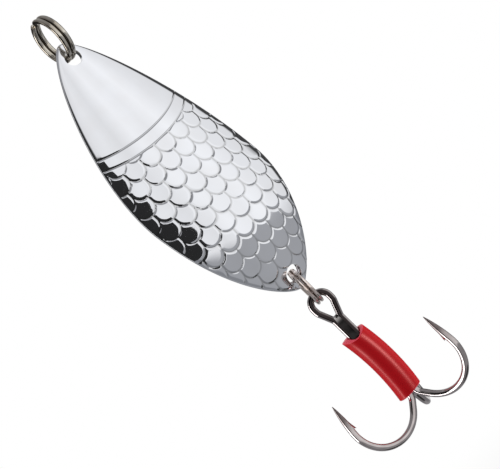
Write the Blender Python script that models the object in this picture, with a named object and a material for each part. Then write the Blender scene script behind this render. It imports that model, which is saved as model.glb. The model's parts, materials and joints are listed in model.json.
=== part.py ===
"""Spoon lure with a barbed treble hook, at real size, hanging from its line tie.

Metres, +Z up. The origin is where the line holds the front split ring. The lure hangs straight down
from it, with the scaled, convex face of the spoon towards -Y. From top to bottom it is a split ring,
the stamped spoon, a smaller split ring and a treble hook with a soft sleeve on its shank.
"""

import math

import bmesh
import bpy
import numpy as np
from mathutils import Vector
from mathutils.geometry import delaunay_2d_cdt

MM = 0.001

# Split rings: spring wire wound twice round, with the two turns side by side
FRONT_RING_DIAMETER = 9.8 * MM
FRONT_RING_WIRE = 0.8 * MM
REAR_RING_DIAMETER = 8.2 * MM
REAR_RING_WIRE = 0.6 * MM
RING_TURN_GAP = 0.43 * MM
RING_STEP_ANGLE = math.radians(22)
RING_STEPS_PER_TURN = 30

# Spoon blade: lengths run from the pointed front tip towards the tail
BLADE_LENGTH = 62.2 * MM
BLADE_HALF_WIDTH = 13.5 * MM
BLADE_THICKNESS = 1.5 * MM
WIDEST_FROM_TIP = 36.2 * MM
TIP_BLUNTNESS = 4.3 * MM
TAIL_BLUNTNESS = 3.1 * MM
FRONT_SHOULDER = 15.4 * MM
REAR_SHOULDER = 15.7 * MM
EDGE_ROUND = 0.45 * MM

# Spoon bowl: how the blade is bellied towards the scaled side
TIP_RISE = 0.8 * MM
BELLY_RISE = 5.2 * MM
BELLY_FROM_TIP = 43.5 * MM
TAIL_FALL = 6.0 * MM
TAIL_SLOPE = math.radians(33)
HEAD_SLOPE = math.radians(3)
HEAD_RUN = 42.0 * MM
BELLY_RUN = 8.7 * MM
TAIL_RUN = 6.0 * MM
SECTION_EDGE_ANGLE = math.radians(37)
SECTION_LEAST_RADIUS = 6.0 * MM

# Punched holes: what passes through them, and the room it has
FRONT_BRIDGE = 1.9 * MM
REAR_BRIDGE = 1.65 * MM
FRONT_HOLE_PLAY = 0.59 * MM
REAR_HOLE_PLAY = 0.37 * MM
SWING_CLEARANCE = 0.2 * MM

# Stamped pattern on the convex face: two gill lines, then overlapping scales to the tail
GILL_FROM_TIP = 22.5 * MM
GILL_SPACING = 2.45 * MM
GILL_RADIUS = 26.0 * MM
GILL_HALF_WIDTH = 0.3 * MM
SCALE_PITCH = 3.9 * MM
SCALE_ROW = 2.95 * MM
GROOVE_DEPTH = 0.1 * MM
PATTERN_MARGIN = 0.35 * MM

# Treble hook: a double hook bent from one wire, a single hook laid behind it, and braze in the grooves
HOOK_WIRE = 1.3 * MM
WIRE_GAP = 0.08 * MM
EYE_PLAY = 0.5 * MM
EYE_STRETCH = 0.5 * MM
EYE_TAPER = math.radians(22)
EYE_NECK_RADIUS = 1.5 * MM
SHANK_LENGTH = 18.3 * MM
FLARE_ANGLE = math.radians(44)
FLARE_RADIUS = 2.0 * MM
FLARE_LENGTH = 1.6 * MM
BEND_RADIUS = 6.6 * MM
POINT_LENGTH = 6.0 * MM
POINT_LEAN_IN = math.radians(7)
POINT_TAPER = 5.6 * MM
POINT_TIP_RADIUS = 0.04 * MM
POINT_FULLNESS = 0.8
BARB_FROM_POINT = 5.3 * MM
BARB_HEIGHT = 0.5 * MM
BARB_LENGTH = 1.6 * MM
BARB_LEAN = 0.8
BRAZE_INSIDE_ANGLE = math.radians(28)
BRAZE_OUTSIDE_ANGLE = math.radians(66)
TAIL_TURN = math.radians(23)
HOOK_TWIST = math.radians(8)

# Soft sleeve on the shank
SLEEVE_WALL = 1.05 * MM
SLEEVE_GAP = 0.06 * MM
SLEEVE_TRAVEL = 3.5 * MM
SLEEVE_EDGE = 0.15 * MM

# Fineness of the surfaces
WIRE_SIDES = 12
SLEEVE_SIDES = 32
HOLE_SIDES = 24
RIM_STEPS = 6
OUTLINE_POINTS = (30, 27)
GILL_POINTS = 33
EYE_STEPS = 10
FLARE_STEPS = 5
BEND_STEPS = 24
CURVE_POINTS = 300
HEAD_POINT_SPACING = 2.0 * MM
BACK_POINT_SPACING = 2.8 * MM
SMOOTH_BELOW_ANGLE = math.radians(40)


def clear_scene():
    for old in list(bpy.data.objects):
        bpy.data.objects.remove(old, do_unlink=True)


def make_material(name, colour, metallic, roughness):
    material = bpy.data.materials.new(name)
    material.use_nodes = True
    shader = material.node_tree.nodes["Principled BSDF"]
    shader.inputs["Base Color"].default_value = (*colour, 1.0)
    shader.inputs["Metallic"].default_value = metallic
    shader.inputs["Roughness"].default_value = roughness
    return material


def add_solid(name, points, faces, material, location, parent=None, turn=0.0):
    """One closed body under its own name, with its faces turned outwards and its origin at location."""
    mesh = bpy.data.meshes.new(name)
    mesh.from_pydata([tuple(p) for p in points], [], faces)
    shape = bmesh.new()
    shape.from_mesh(mesh)
    bmesh.ops.recalc_face_normals(shape, faces=shape.faces)
    shape.to_mesh(mesh)
    shape.free()
    mesh.shade_smooth()
    mesh.set_sharp_from_angle(angle=SMOOTH_BELOW_ANGLE)
    mesh.materials.append(material)
    solid = bpy.data.objects.new(name, mesh)
    bpy.context.scene.collection.objects.link(solid)
    solid.location = location
    solid.rotation_euler = (0.0, 0.0, turn)
    solid.parent = parent
    return solid


def bezier(corners, count):
    """Points along a cubic Bezier curve, both ends included."""
    t = np.linspace(0.0, 1.0, count)[:, None]
    a, b, c, d = (np.array(corner) for corner in corners)
    return (1 - t) ** 3 * a + 3 * (1 - t) ** 2 * t * b + 3 * (1 - t) * t**2 * c + t**3 * d


def sweep(path, radii, sides, raised=None):
    """A closed tube of round rings square to a path. raised gives (direction, height, lean) for each ring:
    the ring's points that face the direction stand out by the height and lean along the path."""
    path = np.array(path)
    along = np.gradient(path, axis=0)
    along /= np.linalg.norm(along, axis=1)[:, None]
    side = np.cross(along[0], (0.31, 0.87, 0.38))
    around = np.linspace(0.0, 2 * math.pi, sides, endpoint=False)
    rings = []
    for i, centre in enumerate(path):
        side = side - along[i] * np.dot(side, along[i])
        side /= np.linalg.norm(side)
        other = np.cross(along[i], side)
        spokes = np.outer(np.cos(around), side) + np.outer(np.sin(around), other)
        ring = centre + spokes * radii[i]
        if raised is not None:
            direction, height, lean = raised[i]
            facing = np.clip(spokes @ np.array(direction), 0.0, 1.0)[:, None] ** 3
            ring = ring + facing * (np.array(direction) * height + along[i] * lean)
        rings.append(ring)
    faces = []
    for i in range(len(path) - 1):
        for k in range(sides):
            a = i * sides + k
            b = i * sides + (k + 1) % sides
            faces.append((a, b, b + sides, a + sides))
    faces.append(tuple(range(sides)))
    faces.append(tuple(range((len(path) - 1) * sides, len(path) * sides)))
    return np.vstack(rings), faces


def ring_radius(diameter, wire):
    """Radius of the middle of the wire."""
    return (diameter - wire) / 2


def turn_pitch(wire):
    return wire + RING_TURN_GAP


def half_pair(wire):
    """Half the width of the two turns side by side."""
    return (turn_pitch(wire) + wire) / 2


def ring_path(diameter, wire):
    """Two turns in the YZ plane. Each stays in its own plane, and one smooth step at the top joins them."""
    start = RING_STEP_ANGLE
    stop = 4 * math.pi - RING_STEP_ANGLE
    angle = np.linspace(start, stop, 2 * RING_STEPS_PER_TURN + 1)
    step = np.clip((angle - 2 * math.pi) / RING_STEP_ANGLE, -1.0, 1.0)
    offset = np.sin(step * math.pi / 2) * turn_pitch(wire) / 2
    radius = ring_radius(diameter, wire)
    return np.stack([offset, radius * np.sin(angle), radius * np.cos(angle)], axis=1)


def least_turn_gap(path, wire):
    """Clear distance between the wire's turns, over all pairs of path points half a turn or more apart."""
    far = np.linalg.norm(path[:, None] - path[None], axis=2)
    index = np.arange(len(path))
    far[np.abs(index[:, None] - index[None]) < RING_STEPS_PER_TURN // 2] = np.inf
    return far.min() - wire


def make_split_ring(name, diameter, wire, material, location, parent=None, turn=0.0):
    path = ring_path(diameter, wire)
    points, faces = sweep(path, [wire / 2] * len(path), WIRE_SIDES)
    print(f"{name}: least gap between turns {least_turn_gap(path, wire) / MM:.2f} mm")
    return add_solid(name, points, faces, material, location, parent, turn)


# The blade's curves, each as a dense run of points that the functions below read by length from the tip
OUTLINE_FRONT = (
    (0.0, 0.0),
    (0.0, TIP_BLUNTNESS),
    (WIDEST_FROM_TIP - FRONT_SHOULDER, BLADE_HALF_WIDTH),
    (WIDEST_FROM_TIP, BLADE_HALF_WIDTH),
)
OUTLINE_REAR = (
    (WIDEST_FROM_TIP, BLADE_HALF_WIDTH),
    (WIDEST_FROM_TIP + REAR_SHOULDER, BLADE_HALF_WIDTH),
    (BLADE_LENGTH, TAIL_BLUNTNESS),
    (BLADE_LENGTH, 0.0),
)
MIDLINE_HEAD = (
    (0.0, TIP_RISE),
    (HEAD_RUN, TIP_RISE + HEAD_RUN * math.tan(HEAD_SLOPE)),
    (BELLY_FROM_TIP - BELLY_RUN, BELLY_RISE),
    (BELLY_FROM_TIP, BELLY_RISE),
)
MIDLINE_TAIL = (
    (BELLY_FROM_TIP, BELLY_RISE),
    (BELLY_FROM_TIP + TAIL_RUN, BELLY_RISE),
    (BLADE_LENGTH - TAIL_RUN, BELLY_RISE - TAIL_FALL + TAIL_RUN * math.tan(TAIL_SLOPE)),
    (BLADE_LENGTH, BELLY_RISE - TAIL_FALL),
)
OUTLINE = np.vstack([bezier(OUTLINE_FRONT, CURVE_POINTS), bezier(OUTLINE_REAR, CURVE_POINTS)[1:]])
MIDLINE = np.vstack([bezier(MIDLINE_HEAD, CURVE_POINTS), bezier(MIDLINE_TAIL, CURVE_POINTS)[1:]])


def half_width(length):
    return np.interp(length, OUTLINE[:, 0], OUTLINE[:, 1])


def rise(length):
    return np.interp(length, MIDLINE[:, 0], MIDLINE[:, 1])


def section_radius(length):
    """Radius of the blade's cross-section: every section turns by about the same angle at its edge."""
    return np.hypot(half_width(length) / math.sin(SECTION_EDGE_ANGLE), SECTION_LEAST_RADIUS)


def edge_width(length):
    """Half width measured round the curve of the section."""
    radius = section_radius(length)
    return radius * np.arcsin(half_width(length) / radius)


def front_face(length, width):
    """Point on the scaled face at a length from the tip and a width round the section."""
    radius = section_radius(length)
    angle = width / radius
    back = radius * (1 - np.cos(angle)) - rise(length)
    return np.stack([radius * np.sin(angle), back, -length], axis=-1)


def blade_point(length, width, depth):
    """Point at a depth below the scaled face, square to it."""
    length = np.asarray(length, dtype=float)
    width = np.asarray(width, dtype=float)
    step = 0.05 * MM
    across = front_face(length, width + step) - front_face(length, width - step)
    down = front_face(length + step, width) - front_face(length - step, width)
    inwards = np.cross(across, down)
    inwards /= np.linalg.norm(inwards, axis=-1)[..., None]
    return front_face(length, width) + inwards * np.asarray(depth)[..., None]


def midline_slope(length):
    """How far the middle of the blade leans from straight down, in radians."""
    step = 0.2 * MM
    return math.atan2(rise(length - step) - rise(length + step), 2 * step)


# Holes: the front one lets its ring swing all round, the rear one lets its ring pass through aslant
FRONT_HOLE_RADIUS = half_pair(FRONT_RING_WIRE) + FRONT_HOLE_PLAY
FRONT_HOLE_FROM_TIP = FRONT_BRIDGE + FRONT_HOLE_RADIUS
FRONT_SEAT = FRONT_HOLE_PLAY - SWING_CLEARANCE
REAR_HOLE_SLOPE = midline_slope(BLADE_LENGTH - 2 * REAR_BRIDGE)
REAR_SLANT = math.acos(math.cos(TAIL_TURN) * math.cos(REAR_HOLE_SLOPE))
REAR_HOLE_RADIUS = (
    half_pair(REAR_RING_WIRE) + BLADE_THICKNESS / 2 * math.tan(REAR_SLANT) + REAR_HOLE_PLAY
)
REAR_HOLE_LENGTH = REAR_HOLE_RADIUS * math.cos(REAR_HOLE_SLOPE)
REAR_SEAT = BLADE_THICKNESS / 2 * math.sin(REAR_HOLE_SLOPE)
REAR_HOLE_FROM_TIP = BLADE_LENGTH - REAR_BRIDGE - REAR_HOLE_LENGTH

# A width round the section that lies past the edge everywhere
PAST_EDGE = 1.2 * BLADE_HALF_WIDTH

# Where the assembly hangs: ring centres and hinge points, all on heights below the line tie
FRONT_RING_RADIUS = ring_radius(FRONT_RING_DIAMETER, FRONT_RING_WIRE)
REAR_RING_RADIUS = ring_radius(REAR_RING_DIAMETER, REAR_RING_WIRE)
FRONT_HOLE_MIDDLE = blade_point(FRONT_HOLE_FROM_TIP, 0.0, BLADE_THICKNESS / 2)
REAR_HOLE_MIDDLE = blade_point(REAR_HOLE_FROM_TIP, 0.0, BLADE_THICKNESS / 2)
BLADE_HINGE = FRONT_HOLE_MIDDLE + np.array((0.0, 0.0, FRONT_SEAT))

# Treble hook sizes that follow from its wire and from the ring in its eye
WIRE_SPACING = HOOK_WIRE + WIRE_GAP
LEG_OFFSET = WIRE_SPACING / 2
BACK_OFFSET = WIRE_SPACING * math.sqrt(3) / 2
BUNDLE_MIDDLE = WIRE_SPACING / (2 * math.sqrt(3))
BUNDLE_RADIUS = WIRE_SPACING / math.sqrt(3) + HOOK_WIRE / 2
EYE_INNER_RADIUS = half_pair(REAR_RING_WIRE) + EYE_PLAY
EYE_RADIUS = EYE_INNER_RADIUS + HOOK_WIRE / 2
EYE_CENTRE = SWING_CLEARANCE - EYE_PLAY


def scale_pattern():
    """Groove points, the grooves that join them, and raised points inside the scales, all as (length, width).

    A scale's free edge is half a circle towards the tail. Short straight grooves run from the cusps
    between two scales back to the crown of the row before, and every other row is moved half a pitch."""
    radius = SCALE_PITCH / 2
    first_cusp = GILL_FROM_TIP + GILL_SPACING - radius
    rows = int((BLADE_LENGTH - first_cusp) / SCALE_ROW) + 1
    per_side = int(BLADE_HALF_WIDTH / SCALE_PITCH) + 2
    grooves = {}
    lines = []
    crowns = []

    def groove_point(length, width):
        key = (round(length / MM, 3), round(width / MM, 3))
        return grooves.setdefault(key, len(grooves))

    for row in range(rows):
        cusp = first_cusp + row * SCALE_ROW
        shift = 0.0 if row % 2 else radius
        for column in range(-per_side, per_side + 1):
            middle = shift + column * SCALE_PITCH
            turns = np.linspace(-math.pi / 2, math.pi / 2, 9)
            arc = [groove_point(cusp + radius * math.cos(a), middle + radius * math.sin(a)) for a in turns]
            lines += list(zip(arc, arc[1:]))
            crown_before = groove_point(cusp - SCALE_ROW + radius, middle + radius)
            lines.append((arc[-1], crown_before))
            centre = cusp + (radius - SCALE_ROW) / 2
            for step, out in ((0.5, 0.0), (-0.5, 0.0), (0.0, 0.5), (0.0, -0.5)):
                crowns.append((centre + step * radius, middle + out * radius))
    return [(a * MM, b * MM) for a, b in grooves], lines, crowns


def gill_length(width, from_tip):
    """Length from the tip of a gill line, an arc whose ends bend back towards the tip."""
    return from_tip - GILL_RADIUS + np.sqrt(GILL_RADIUS**2 - np.asarray(width) ** 2)


def hole_loop(from_tip, radius_along, radius_across):
    turns = np.linspace(0.0, 2 * math.pi, HOLE_SIDES, endpoint=False)
    return np.stack([from_tip + radius_along * np.cos(turns), radius_across * np.sin(turns)], axis=1)


def blade_outline():
    """The blade's edge as one loop of (length, width), with the outward direction at each point."""
    front = bezier(OUTLINE_FRONT, OUTLINE_POINTS[0])
    rear = bezier(OUTLINE_REAR, OUTLINE_POINTS[1])
    length = np.concatenate([front[:, 0], rear[1:, 0]])
    width = edge_width(length)
    loop = np.concatenate(
        [np.stack([length, width], axis=1), np.stack([length, -width], axis=1)[-2:0:-1]]
    )
    tangent = np.roll(loop, -1, axis=0) - np.roll(loop, 1, axis=0)
    outward = np.stack([-tangent[:, 1], tangent[:, 0]], axis=1)
    outward /= np.linalg.norm(outward, axis=1)[:, None]
    return loop, outward


def even_grid(spacing):
    """Evenly spaced (length, width) points over the whole blade and a little beyond its edges."""
    reach = int(PAST_EDGE / spacing)
    lengths = np.arange(spacing / 2, BLADE_LENGTH, spacing)
    return [(float(a), float(b * spacing)) for a in lengths for b in range(-reach, reach + 1)]


def fill_between(loops, inner_points, inner_lines, keep):
    """Triangles over (length, width) points that fill the first loop and leave the other loops open."""
    points = [tuple(p) for loop in loops for p in loop]
    lines = []
    start = 0
    for loop in loops:
        lines += [(start + i, start + (i + 1) % len(loop)) for i in range(len(loop))]
        start += len(loop)
    lines += [(start + a, start + b) for a, b in inner_lines]
    points += inner_points
    flat = [Vector((a / MM, b / MM)) for a, b in points]
    made, _, triangles, origin, _, _ = delaunay_2d_cdt(flat, lines, [], 0, 1e-5)
    made = np.array([tuple(p) for p in made]) * MM
    source = [old[0] if old else -1 for old in origin]
    kept = [t for t in triangles if keep(*made[list(t)].mean(axis=0))]
    return made, kept, source


def make_blade(material, location, parent):
    loop, outward = blade_outline()
    face_loop = loop - outward * EDGE_ROUND
    hole_places = (
        (FRONT_HOLE_FROM_TIP, FRONT_HOLE_RADIUS, FRONT_HOLE_RADIUS),
        (REAR_HOLE_FROM_TIP, REAR_HOLE_LENGTH, REAR_HOLE_RADIUS),
    )
    holes = [hole_loop(*place) for place in hole_places]

    def clear_of_holes(length, width, margin):
        return all(
            math.hypot((length - place) / (along + margin), width / (across + margin)) > 1.0
            for place, along, across in hole_places
        )

    half_loop = face_loop[: len(face_loop) // 2 + 1]

    def on_face(length, width, margin=0.0):
        if not half_loop[0, 0] + margin < length < half_loop[-1, 0] - margin:
            return False
        edge = np.interp(length, half_loop[:, 0], half_loop[:, 1])
        return abs(width) < edge - margin and clear_of_holes(length, width, margin)

    second_gill = GILL_FROM_TIP + GILL_SPACING
    groove_points, groove_lines, crowns = scale_pattern()

    def in_scales(point, margin):
        past_gill = point[0] > gill_length(min(abs(point[1]), GILL_RADIUS), second_gill) + 2 * GILL_HALF_WIDTH
        return past_gill and on_face(*point, margin)

    kept = [i for i, point in enumerate(groove_points) if in_scales(point, PATTERN_MARGIN)]
    place_of = {old: new for new, old in enumerate(kept)}
    inner = [groove_points[i] for i in kept]
    lines = [(place_of[a], place_of[b]) for a, b in groove_lines if a in place_of and b in place_of]
    depths = [GROOVE_DEPTH] * len(inner)
    flat_points = [point for point in crowns if in_scales(point, PATTERN_MARGIN)]

    # Gill lines: a groove with its two brinks, across the whole face
    gill_widths = np.linspace(-PAST_EDGE, PAST_EDGE, GILL_POINTS)
    for from_tip in (GILL_FROM_TIP, second_gill):
        for offset, depth in ((-GILL_HALF_WIDTH, 0.0), (0.0, GROOVE_DEPTH), (GILL_HALF_WIDTH, 0.0)):
            run = [(float(gill_length(b, from_tip)) + offset, float(b)) for b in gill_widths]
            run = [point for point in run if on_face(*point, PATTERN_MARGIN)]
            lines += [(len(inner) + i, len(inner) + i + 1) for i in range(len(run) - 1)]
            inner += run
            depths += [depth] * len(run)

    # Smooth head: plain points that follow its curve
    flat_points += [
        (a, b)
        for a, b in even_grid(HEAD_POINT_SPACING)
        if a < gill_length(b, GILL_FROM_TIP) - 2 * GILL_HALF_WIDTH and on_face(a, b, PATTERN_MARGIN)
    ]
    inner += flat_points
    depths += [0.0] * len(flat_points)

    loops = [face_loop, *holes]
    border = sum(len(run) for run in loops)
    front_flat, front_faces, front_from = fill_between(loops, inner, lines, on_face)
    all_depths = np.array([0.0] * border + depths + [GROOVE_DEPTH])
    front = blade_point(front_flat[:, 0], front_flat[:, 1], all_depths[front_from])
    front_place = {old: new for new, old in enumerate(front_from)}

    # Plain hollow back: the same edge and holes, with an even grid between them
    back_inner = [place for place in even_grid(BACK_POINT_SPACING) if on_face(*place, PATTERN_MARGIN)]
    back_flat, back_faces, back_from = fill_between(loops, back_inner, [], on_face)
    back = blade_point(back_flat[:, 0], back_flat[:, 1], np.full(len(back_flat), BLADE_THICKNESS))
    back_place = {old: new + len(front) for new, old in enumerate(back_from)}

    points = [front, back]
    faces = [tuple(t) for t in front_faces]
    faces += [tuple(v + len(front) for v in reversed(t)) for t in back_faces]
    count = len(front) + len(back)

    # Rounded edge, from the front face round to the back
    edge = len(face_loop)
    before = [front_place[i] for i in range(edge)]
    for step in range(1, RIM_STEPS + 1):
        if step == RIM_STEPS:
            after = [back_place[i] for i in range(edge)]
        else:
            bend = math.pi * step / RIM_STEPS
            flat = face_loop + outward * EDGE_ROUND * math.sin(bend)
            depth = np.full(edge, BLADE_THICKNESS / 2 * (1 - math.cos(bend)))
            points.append(blade_point(flat[:, 0], flat[:, 1], depth))
            after = list(range(count, count + edge))
            count += edge
        for i in range(edge):
            k = (i + 1) % edge
            faces.append((before[i], before[k], after[k], after[i]))
        before = after

    # Walls of the two holes
    start = edge
    for hole in holes:
        for i in range(len(hole)):
            a = start + i
            b = start + (i + 1) % len(hole)
            faces.append((front_place[a], back_place[a], back_place[b], front_place[b]))
        start += len(hole)
    return add_solid(
        "spoon_blade", np.vstack(points) - BLADE_HINGE, faces, material, location, parent
    )


def turn_arc(start, heading, radius, turn, steps):
    """Points along a flat arc that leaves start on a heading and turns left by turn, without start itself."""
    side = 1.0 if turn > 0 else -1.0
    centre = np.array(start) + side * radius * np.array((-math.sin(heading), math.cos(heading)))
    angles = heading - side * math.pi / 2 + np.linspace(0.0, turn, steps + 1)[1:]
    return centre + radius * np.stack([np.cos(angles), np.sin(angles)], axis=1)


def hook_bend():
    """One hook from the end of the shank to its point, as (out, up) from the shank's end, with each ring's
    wire radius and the height and lean of the barb there."""
    heading = -math.pi / 2
    flare = turn_arc((0.0, 0.0), heading, FLARE_RADIUS, FLARE_ANGLE, FLARE_STEPS)
    heading += FLARE_ANGLE
    direction = np.array((math.cos(heading), math.sin(heading)))
    run = np.array([flare[-1] + direction * FLARE_LENGTH])
    bend = turn_arc(run[-1], heading, BEND_RADIUS, math.pi / 2 - heading + POINT_LEAN_IN, BEND_STEPS)
    heading = math.pi / 2 + POINT_LEAN_IN
    direction = np.array((math.cos(heading), math.sin(heading)))
    barb_tip = POINT_LENGTH - BARB_FROM_POINT
    stations = np.concatenate(
        [
            [barb_tip * 0.5, barb_tip * 0.93],
            np.linspace(barb_tip, barb_tip + BARB_LENGTH, 4),
            np.linspace(barb_tip + BARB_LENGTH, POINT_LENGTH, 7)[1:],
        ]
    )
    spear = bend[-1] + stations[:, None] * direction
    places = np.vstack([[(0.0, 0.0)], flare, run, bend, spear])
    from_point = np.concatenate([np.full(len(places) - len(stations), POINT_LENGTH), POINT_LENGTH - stations])
    fullness = np.clip(from_point / POINT_TAPER, 0.0, 1.0)
    swell = np.sin(fullness * math.pi / 2) ** POINT_FULLNESS
    radii = POINT_TIP_RADIUS + (HOOK_WIRE / 2 - POINT_TIP_RADIUS) * swell
    past_tip = stations - barb_tip
    slope = np.where(past_tip < -1e-9, 0.0, np.clip(1 - past_tip / BARB_LENGTH, 0.0, 1.0))
    height = np.concatenate([np.zeros(len(places) - len(stations)), slope**1.5 * BARB_HEIGHT])
    lean = -height * BARB_LEAN
    return places, radii, height, lean


def eye_side():
    """Half of the eye as (right, up) from the hinge in the eye: from its top round to the leg."""
    top = turn_arc((0.0, EYE_CENTRE + EYE_RADIUS), 0.0, EYE_RADIUS, -math.pi / 2, EYE_STEPS)
    low = turn_arc(top[-1] - (0.0, EYE_STRETCH), -math.pi / 2, EYE_RADIUS, -EYE_TAPER, 3)
    gap = low[-1, 0] - LEG_OFFSET - EYE_NECK_RADIUS * (1 - math.cos(EYE_TAPER))
    heading = -math.pi / 2 - EYE_TAPER
    neck_start = low[-1] + gap / math.sin(EYE_TAPER) * np.array((math.cos(heading), math.sin(heading)))
    neck = turn_arc(neck_start, heading, EYE_NECK_RADIUS, EYE_TAPER, 4)
    return np.vstack([top, [top[-1] - (0.0, EYE_STRETCH)], low, [neck_start], neck])


EYE_SIDE = eye_side()
SHANK_TOP = EYE_SIDE[-1, 1]
SHANK_END = SHANK_TOP - SHANK_LENGTH
HOOK_DIRECTIONS = {
    "left": np.array((-math.sqrt(3) / 2, -0.5)),
    "right": np.array((math.sqrt(3) / 2, -0.5)),
    "back": np.array((0.0, 1.0)),
}
LEG_PLACES = {
    "left": np.array((-LEG_OFFSET, 0.0)),
    "right": np.array((LEG_OFFSET, 0.0)),
    "back": np.array((0.0, BACK_OFFSET)),
}


def placed_bend(which):
    """A hook's path, radii and barb in space: the bend in the upright plane of its own direction."""
    places, radii, height, lean = hook_bend()
    direction = HOOK_DIRECTIONS[which]
    across = LEG_PLACES[which] + places[:, :1] * direction
    path = np.column_stack([across, SHANK_END + places[:, 1]])
    inwards = (*-direction, 0.0)
    raised = [(inwards, h, l) for h, l in zip(height, lean)]
    return path, radii, raised


def make_double_hook(material, location, parent):
    """One wire: left point, left leg, the eye, right leg, right point."""
    left_path, radii, left_raised = placed_bend("left")
    right_path, _, right_raised = placed_bend("right")
    right_eye = np.column_stack([EYE_SIDE[:, 0], np.zeros(len(EYE_SIDE)), EYE_SIDE[:, 1]])
    left_eye = right_eye * np.array((-1.0, 1.0, 1.0))
    top = np.array([(0.0, 0.0, EYE_CENTRE + EYE_RADIUS)])
    path = np.vstack([left_path[::-1], left_eye[::-1], top, right_eye, right_path])
    middle = 2 * len(EYE_SIDE) + 1
    all_radii = np.concatenate([radii[::-1], np.full(middle, HOOK_WIRE / 2), radii])
    plain = [((0.0, 0.0, 1.0), 0.0, 0.0)] * middle
    left_back = [(direction, height, -lean) for direction, height, lean in reversed(left_raised)]
    points, faces = sweep(path, all_radii, WIRE_SIDES, left_back + plain + right_raised)
    return add_solid("double_hook", points, faces, material, location, parent, -HOOK_TWIST)


def make_single_hook(material, parent):
    """The third hook: its straight shank ends bluntly just below the eye."""
    path, radii, raised = placed_bend("back")
    top = np.array([(*LEG_PLACES["back"], SHANK_TOP)])
    path = np.vstack([top, path])
    radii = np.concatenate([[HOOK_WIRE / 2], radii])
    raised = [((0.0, -1.0, 0.0), 0.0, 0.0), *raised]
    points, faces = sweep(path, radii, WIRE_SIDES, raised)
    return add_solid("single_hook", points, faces, material, (0.0, 0.0, 0.0), parent)


def make_braze(name, first, second, material, parent):
    """Braze along the groove between two of the three wires: hollow on both sides, flat on the outside."""
    a = LEG_PLACES[first]
    b = LEG_PLACES[second]
    middle = (a + b) / 2
    across = (b - a) / np.linalg.norm(b - a)
    out = middle - np.array((0.0, BUNDLE_MIDDLE))
    out /= np.linalg.norm(out)
    radius = HOOK_WIRE / 2 + WIRE_GAP / 2
    angles = np.linspace(BRAZE_INSIDE_ANGLE, BRAZE_OUTSIDE_ANGLE, 6)
    side = WIRE_SPACING / 2 - radius * np.cos(angles)
    height = radius * np.sin(angles)
    section = np.concatenate(
        [np.stack([side, height], axis=1), np.stack([-side, height], axis=1)[::-1]]
    )
    flat = middle + section[:, :1] * across + section[:, 1:] * out
    count = len(flat)
    points = np.vstack(
        [np.column_stack([flat, np.full(count, z)]) for z in (SHANK_TOP, SHANK_END)]
    )
    faces = [(i, (i + 1) % count, (i + 1) % count + count, i + count) for i in range(count)]
    faces += [tuple(range(count)), tuple(range(count, 2 * count))]
    return add_solid(name, points, faces, material, (0.0, 0.0, 0.0), parent)


def make_sleeve(material, parent):
    """A straight soft tube round the three shanks, with its four edges slightly rounded off."""
    bore = BUNDLE_RADIUS + SLEEVE_GAP
    outside = bore + SLEEVE_WALL
    half = (SHANK_LENGTH - SLEEVE_TRAVEL) / 2
    profile = [
        (bore, half - SLEEVE_EDGE),
        (bore + SLEEVE_EDGE, half),
        (outside - SLEEVE_EDGE, half),
        (outside, half - SLEEVE_EDGE),
        (outside, SLEEVE_EDGE - half),
        (outside - SLEEVE_EDGE, -half),
        (bore + SLEEVE_EDGE, -half),
        (bore, SLEEVE_EDGE - half),
    ]
    around = np.linspace(0.0, 2 * math.pi, SLEEVE_SIDES, endpoint=False)
    points = np.vstack(
        [[(r * math.cos(t), r * math.sin(t), z) for r, z in profile] for t in around]
    )
    size = len(profile)
    faces = []
    for i in range(SLEEVE_SIDES):
        k = (i + 1) % SLEEVE_SIDES
        for j in range(size):
            n = (j + 1) % size
            faces.append((i * size + j, i * size + n, k * size + n, k * size + j))
    location = (0.0, BUNDLE_MIDDLE, SHANK_END + half)
    return add_solid("hook_sleeve", points, faces, material, location, parent)


def build():
    clear_scene()
    chrome = make_material("polished_chrome", (0.86, 0.87, 0.89), 1.0, 0.06)
    dark_nickel = make_material("dark_nickel_ring", (0.42, 0.39, 0.35), 1.0, 0.18)
    bright_nickel = make_material("bright_nickel_ring", (0.72, 0.66, 0.63), 1.0, 0.15)
    hook_nickel = make_material("black_nickel_hook", (0.30, 0.27, 0.27), 1.0, 0.16)
    braze_metal = make_material("braze_metal", (0.16, 0.15, 0.15), 1.0, 0.25)
    red_rubber = make_material("red_sleeve", (0.72, 0.05, 0.06), 0.0, 0.35)

    front_ring = make_split_ring(
        "front_split_ring",
        FRONT_RING_DIAMETER,
        FRONT_RING_WIRE,
        dark_nickel,
        (0.0, 0.0, -FRONT_RING_RADIUS),
    )
    blade = make_blade(chrome, (0.0, 0.0, -FRONT_RING_RADIUS), front_ring)
    rear_centre = REAR_HOLE_MIDDLE - BLADE_HINGE - np.array((0.0, 0.0, REAR_RING_RADIUS - REAR_SEAT))
    rear_ring = make_split_ring(
        "rear_split_ring",
        REAR_RING_DIAMETER,
        REAR_RING_WIRE,
        bright_nickel,
        tuple(rear_centre),
        blade,
        -TAIL_TURN,
    )
    hook = make_double_hook(hook_nickel, (0.0, 0.0, -REAR_RING_RADIUS), rear_ring)
    make_single_hook(hook_nickel, hook)
    make_braze("braze_front", "left", "right", braze_metal, hook)
    make_braze("braze_left", "left", "back", braze_metal, hook)
    make_braze("braze_right", "right", "back", braze_metal, hook)
    make_sleeve(red_rubber, hook)


build()
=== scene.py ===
import json
import math

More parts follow.
